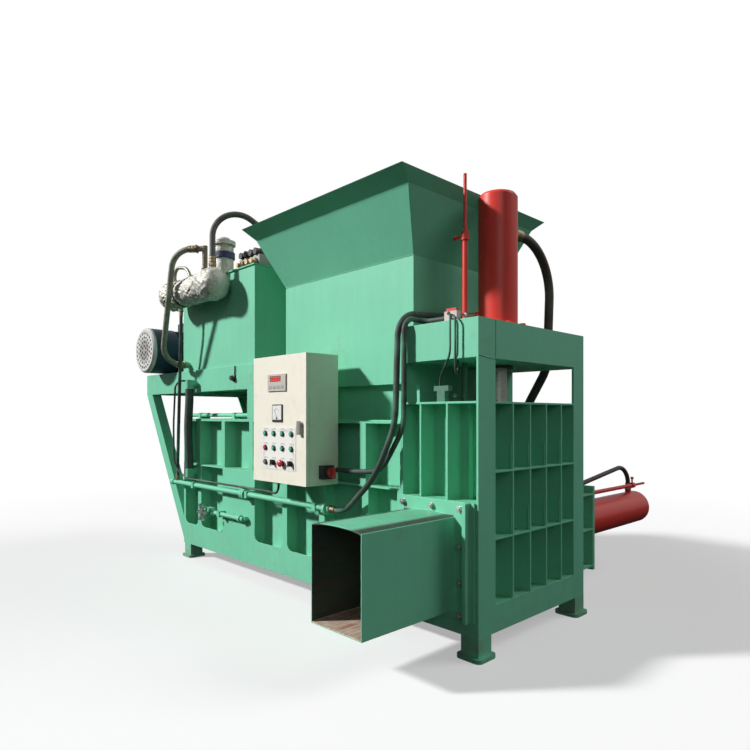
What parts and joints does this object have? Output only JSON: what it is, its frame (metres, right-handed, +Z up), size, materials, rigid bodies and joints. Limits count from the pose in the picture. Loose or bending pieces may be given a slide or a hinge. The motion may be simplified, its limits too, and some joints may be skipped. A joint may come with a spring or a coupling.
{
  "type": "silage bagging baler",
  "caption": "Stationary hydraulic silage baler: ribbed pressing chamber with hopper, press tower, side ejector with bagging spout, power pack on a platform and a push-button control box.",
  "frame": {"origin": "on the floor, under the middle of the machine's box", "axes": "+X along the pressing chamber towards the press tower, +Y from the control side to the ejector cylinder, +Z up"},
  "size_m": [3.46, 2.85, 2.456],
  "materials": {
    "body_green": "gloss sea green paint",
    "inner_green": "worn dark green paint",
    "cylinder_red": "gloss red paint",
    "polished_rod": "hard chromed rod",
    "motor_navy": "dark blue painted casting",
    "cowl_grey": "pale grey paint",
    "bright_metal": "silver paint and bare metal",
    "plain_steel": "zinc plated and bare steel",
    "box_cream": "fine textured cream powder coat",
    "box_gear_grey": "grey mouldings on a zinc plate",
    "black_plastic": "black moulding",
    "button_green": "green lens",
    "button_red": "red lens",
    "hose_rubber": "dark rubber",
    "cable_sleeve": "black sleeve"
  },
  "bodies": {
    "frame": {"side_frame_front": "body_green", "side_frame_rear": "body_green", "feet": "body_green", "chamber_end_plate": "body_green", "chamber_cover": "body_green", "hopper_chute": "body_green", "hopper_flare": "body_green", "platform_deck": "body_green", "platform_struts": "body_green", "tower_front": "body_green", "tower_end": "body_green", "tower_rear": "body_green", "tower_head": "body_green", "eject_guide": "body_green", "oil_tank": "body_green", "spout": "body_green", "pipework": "body_green", "chamber_floor": "inner_green", "bell_housing": "inner_green", "main_barrel": "cylinder_red", "press_barrel": "cylinder_red", "eject_barrel": "cylinder_red", "motor_frame": "motor_navy", "motor_cowl": "cowl_grey", "return_filter": "bright_metal", "oil_cooler": "bright_metal", "limit_switches": "bright_metal", "valve_block": "plain_steel", "pump": "plain_steel", "spout_bolts": "plain_steel", "box_shell": "box_cream", "box_gear": "box_gear_grey", "isolator_base": "black_plastic", "hydraulic_hoses": "hose_rubber", "cable_runs": "cable_sleeve"},
    "main_ram": {"main_rod": "polished_rod", "main_ram": "inner_green"},
    "press_ram": {"press_rod": "polished_rod", "press_platen": "inner_green"},
    "eject_ram": {"eject_rod": "polished_rod", "eject_plate": "inner_green"},
    "rotor": {"motor_rotor": "plain_steel"},
    "door": {"box_door": "box_cream", "door_instruments": "black_plastic", "button_bodies": "black_plastic"},
    "lock": {"door_lock": "bright_metal"},
    "isolator": {"isolator_knob": "button_red"},
    "drain": {"drain_handle": "plain_steel"},
    "key": {"key_switch": "plain_steel"},
    "selector_a": {"selector_left": "black_plastic"},
    "selector_b": {"selector_right": "black_plastic"},
    "stop": {"stop_button": "button_red"},
    "push_red": {"red_button": "button_red"},
    "push_green_1": {"green_button_1": "button_green"},
    "push_green_2": {"green_button_2": "button_green"},
    "push_green_3": {"green_button_3": "button_green"},
    "push_green_4": {"green_button_4": "button_green"},
    "push_green_5": {"green_button_5": "button_green"},
    "push_green_6": {"green_button_6": "button_green"},
    "push_green_7": {"green_button_7": "button_green"}
  },
  "joints": [
    {"name": "main_ram_slide", "type": "slide", "parent": "frame", "child": "main_ram", "axis": [1, 0, 0], "range_m": [0, 1.11]},
    {"name": "press_slide", "type": "slide", "parent": "frame", "child": "press_ram", "axis": [0, 0, -1], "range_m": [0, 0.395]},
    {"name": "eject_slide", "type": "slide", "parent": "frame", "child": "eject_ram", "axis": [0, -1, 0], "range_m": [0, 0.84]},
    {"name": "rotor_spin", "type": "hinge", "parent": "frame", "child": "rotor", "pos_m": [-1.43, -0.965, 1.585], "axis": [0, 1, 0], "continuous": true},
    {"name": "door_hinge", "type": "hinge", "parent": "frame", "child": "door", "pos_m": [0.269, -1.061, 1.046], "axis": [0, 0, -1], "range_deg": [0, 110]},
    {"name": "lock_turn", "type": "hinge", "parent": "door", "child": "lock", "pos_m": [0.73, -1.08, 1.022], "axis": [0, 1, 0], "range_deg": [0, 90]},
    {"name": "isolator_turn", "type": "hinge", "parent": "frame", "child": "isolator", "pos_m": [0.82, -0.95, 0.766], "axis": [1, 0, 0], "range_deg": [0, 90]},
    {"name": "drain_turn", "type": "hinge", "parent": "frame", "child": "drain", "pos_m": [-0.59, -0.945, 0.39], "axis": [0, 1, 0], "continuous": true},
    {"name": "key_turn", "type": "hinge", "parent": "door", "child": "key", "pos_m": [0.404, -1.083, 0.808], "axis": [0, 1, 0], "range_deg": [0, 90]},
    {"name": "selector_a_turn", "type": "hinge", "parent": "door", "child": "selector_a", "pos_m": [0.486, -1.083, 0.808], "axis": [0, 1, 0], "range_deg": [-45, 45]},
    {"name": "selector_b_turn", "type": "hinge", "parent": "door", "child": "selector_b", "pos_m": [0.65, -1.083, 0.808], "axis": [0, 1, 0], "range_deg": [-45, 45]},
    {"name": "stop_press", "type": "slide", "parent": "door", "child": "stop", "axis": [0, 1, 0], "range_m": [0, 0.005], "stiffness_N_per_m": 2000},
    {"name": "press_red", "type": "slide", "parent": "door", "child": "push_red", "axis": [0, 1, 0], "range_m": [0, 0.004], "stiffness_N_per_m": 1500},
    {"name": "press_green_1", "type": "slide", "parent": "door", "child": "push_green_1", "axis": [0, 1, 0], "range_m": [0, 0.004], "stiffness_N_per_m": 1500},
    {"name": "press_green_2", "type": "slide", "parent": "door", "child": "push_green_2", "axis": [0, 1, 0], "range_m": [0, 0.004], "stiffness_N_per_m": 1500},
    {"name": "press_green_3", "type": "slide", "parent": "door", "child": "push_green_3", "axis": [0, 1, 0], "range_m": [0, 0.004], "stiffness_N_per_m": 1500},
    {"name": "press_green_4", "type": "slide", "parent": "door", "child": "push_green_4", "axis": [0, 1, 0], "range_m": [0, 0.004], "stiffness_N_per_m": 1500},
    {"name": "press_green_5", "type": "slide", "parent": "door", "child": "push_green_5", "axis": [0, 1, 0], "range_m": [0, 0.004], "stiffness_N_per_m": 1500},
    {"name": "press_green_6", "type": "slide", "parent": "door", "child": "push_green_6", "axis": [0, 1, 0], "range_m": [0, 0.004], "stiffness_N_per_m": 1500},
    {"name": "press_green_7", "type": "slide", "parent": "door", "child": "push_green_7", "axis": [0, 1, 0], "range_m": [0, 0.004], "stiffness_N_per_m": 1500}
  ]
}
